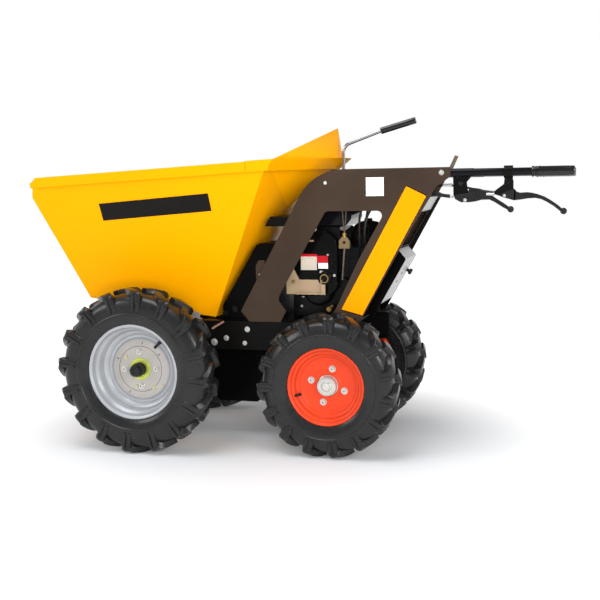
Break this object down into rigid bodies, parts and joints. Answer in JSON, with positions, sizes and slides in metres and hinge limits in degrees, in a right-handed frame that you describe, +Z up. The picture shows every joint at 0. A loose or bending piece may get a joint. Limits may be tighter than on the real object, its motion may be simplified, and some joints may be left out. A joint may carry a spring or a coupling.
{
  "type": "walk-behind mini dumper",
  "caption": "Walk-behind four-wheeled mini dumper with a forward-tipping tub, an open engine bay between side plates, lugged tyres and handlebars.",
  "frame": {"origin": "on the floor under the middle of the whole machine", "axes": "+X forward towards the tub, +Y to the machine's left, +Z up"},
  "size_m": [1.57, 0.702, 0.9615],
  "materials": {
    "black_paint": "satin black paint",
    "chrome_rod": "bright chromed rod",
    "engine_casting": "dark grey casting",
    "engine_plastic": "black moulded plastic",
    "grip_rubber": "ribbed black rubber",
    "orange_wheel": "orange-red paint on pressed steel",
    "plate_paint": "dark brown-black textured powder coat",
    "silver_sheet": "silver painted sheet",
    "silver_wheel": "silver paint on pressed steel",
    "tyre_rubber": "matt moulded rubber",
    "yellow_paint": "glossy yellow powder coat",
    "zinc_plate": "zinc plated"
  },
  "bodies": {
    "chassis": {"air_filter": "engine_plastic", "axle_front": "black_paint", "axle_rear": "black_paint", "belt_guard": "black_paint", "cable_clutch": "grip_rubber", "cable_drive": "grip_rubber", "chassis_rail_left": "black_paint", "chassis_rail_right": "black_paint", "clutch_holder": "black_paint", "clutch_lever": "black_paint", "console_panel": "plate_paint", "control_plate": "zinc_plate", "crossbar": "black_paint", "drive_holder": "black_paint", "drive_lever": "black_paint", "engine_block": "engine_casting", "engine_deck": "black_paint", "engine_head": "engine_casting", "engine_shroud": "engine_plastic", "fuel_tank": "engine_plastic", "gear_lever": "chrome_rod", "gear_lever_grip": "grip_rubber", "gear_link": "zinc_plate", "gearbox": "black_paint", "gearbox_beam": "black_paint", "grip_left": "grip_rubber", "grip_right": "grip_rubber", "handlebar_left": "black_paint", "handlebar_right": "black_paint", "hinge_bracket": "black_paint", "rear_guard": "silver_sheet", "rear_panel": "black_paint", "side_plate_left": "plate_paint", "side_plate_right": "plate_paint", "throttle_lever": "black_paint", "tub_latch": "zinc_plate", "tub_rest": "black_paint"},
    "tub": {"tub_rim": "yellow_paint", "tub_rim_rear": "yellow_paint", "tub_shell": "yellow_paint", "tub_splash_guard": "yellow_paint", "tub_underframe": "black_paint"},
    "wheel_front_left": {"hub_front_left": "zinc_plate", "rim_front_left": "silver_wheel", "tyre_front_left": "tyre_rubber"},
    "wheel_front_right": {"hub_front_right": "zinc_plate", "rim_front_right": "silver_wheel", "tyre_front_right": "tyre_rubber"},
    "wheel_rear_left": {"hub_rear_left": "zinc_plate", "rim_rear_left": "orange_wheel", "tyre_rear_left": "tyre_rubber"},
    "wheel_rear_right": {"hub_rear_right": "zinc_plate", "rim_rear_right": "orange_wheel", "tyre_rear_right": "tyre_rubber"}
  },
  "joints": [
    {"name": "tub_tip", "type": "hinge", "parent": "chassis", "child": "tub", "pos_m": [0.592, 0, 0.385], "axis": [0, 1, 0], "range_deg": [0, 80]},
    {"name": "roll_front_left", "type": "hinge", "parent": "chassis", "child": "wheel_front_left", "pos_m": [0.462, 0.295, 0.2425], "axis": [0, 1, 0], "continuous": true},
    {"name": "roll_front_right", "type": "hinge", "parent": "chassis", "child": "wheel_front_right", "pos_m": [0.462, -0.295, 0.2425], "axis": [0, 1, 0], "continuous": true},
    {"name": "roll_rear_left", "type": "hinge", "parent": "chassis", "child": "wheel_rear_left", "pos_m": [-0.098, 0.225, 0.2065], "axis": [0, 1, 0], "continuous": true},
    {"name": "roll_rear_right", "type": "hinge", "parent": "chassis", "child": "wheel_rear_right", "pos_m": [-0.098, -0.225, 0.2065], "axis": [0, 1, 0], "continuous": true}
  ]
}
